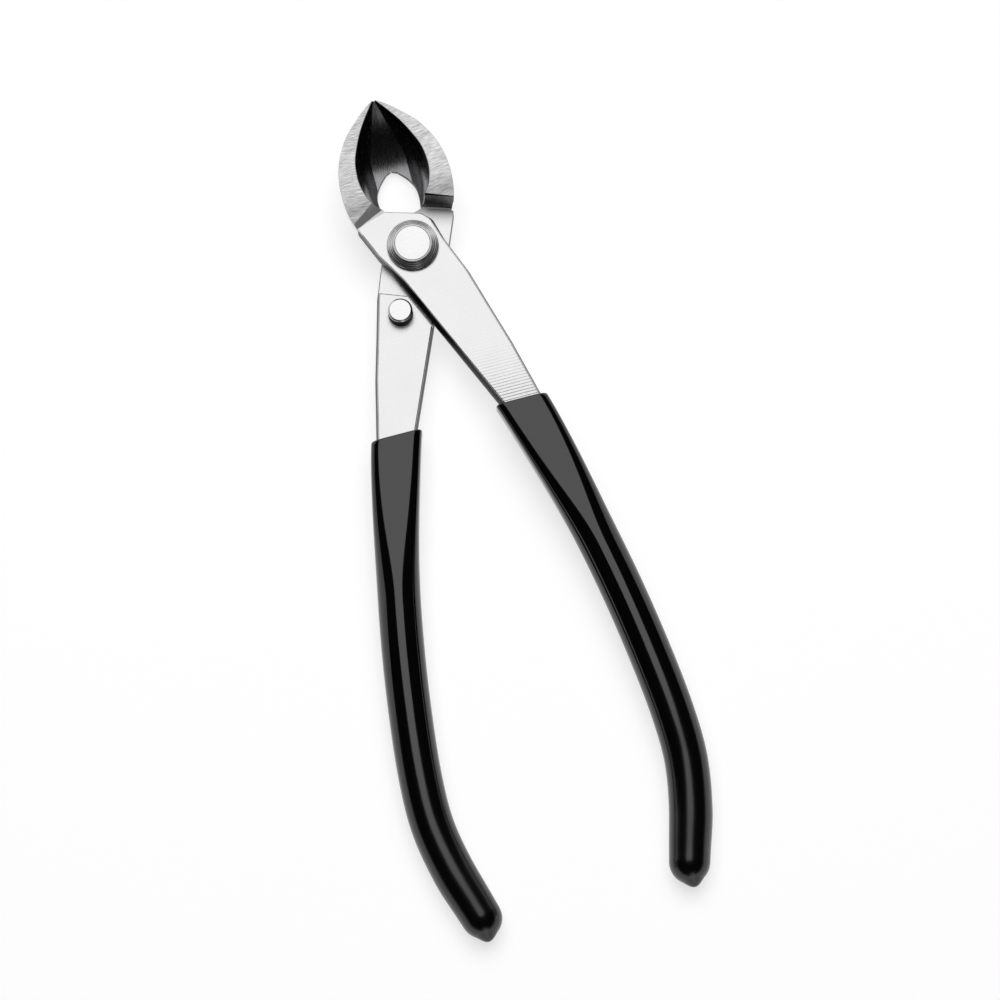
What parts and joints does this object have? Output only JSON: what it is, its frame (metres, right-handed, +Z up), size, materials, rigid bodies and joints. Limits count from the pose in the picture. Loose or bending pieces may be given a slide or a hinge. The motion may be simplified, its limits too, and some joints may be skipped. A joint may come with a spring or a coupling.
{
  "type": "concave branch cutter",
  "caption": "Concave branch cutter with hollow bowl-shaped blades crossed on a rivet, a stop pin and long bent handles dipped in glossy black plastic.",
  "frame": {"origin": "centre of the closed tool's box on the surface it lies on, hollow side up", "axes": "+Y along the tool towards the blade tips, +Z up out of the hollow side, +X to the right seen from above"},
  "size_m": [0.0716, 0.202, 0.016],
  "materials": {
    "lever_steel": "satin",
    "washer_steel": "turned",
    "pin_steel": "polished",
    "grip_plastic": "glossy"
  },
  "bodies": {
    "lower": {"lower_lever": "lever_steel", "lower_grip": "grip_plastic", "pivot_rivet": "pin_steel", "front_washer": "washer_steel", "back_washer": "washer_steel", "stop_pin": "pin_steel"},
    "upper": {"upper_lever": "lever_steel", "upper_grip": "grip_plastic"}
  },
  "joints": [
    {"name": "pivot", "type": "hinge", "parent": "lower", "child": "upper", "pos_m": [0, 0.0631, 0.0085], "axis": [0, 0, 1], "range_deg": [0, 32]}
  ]
}
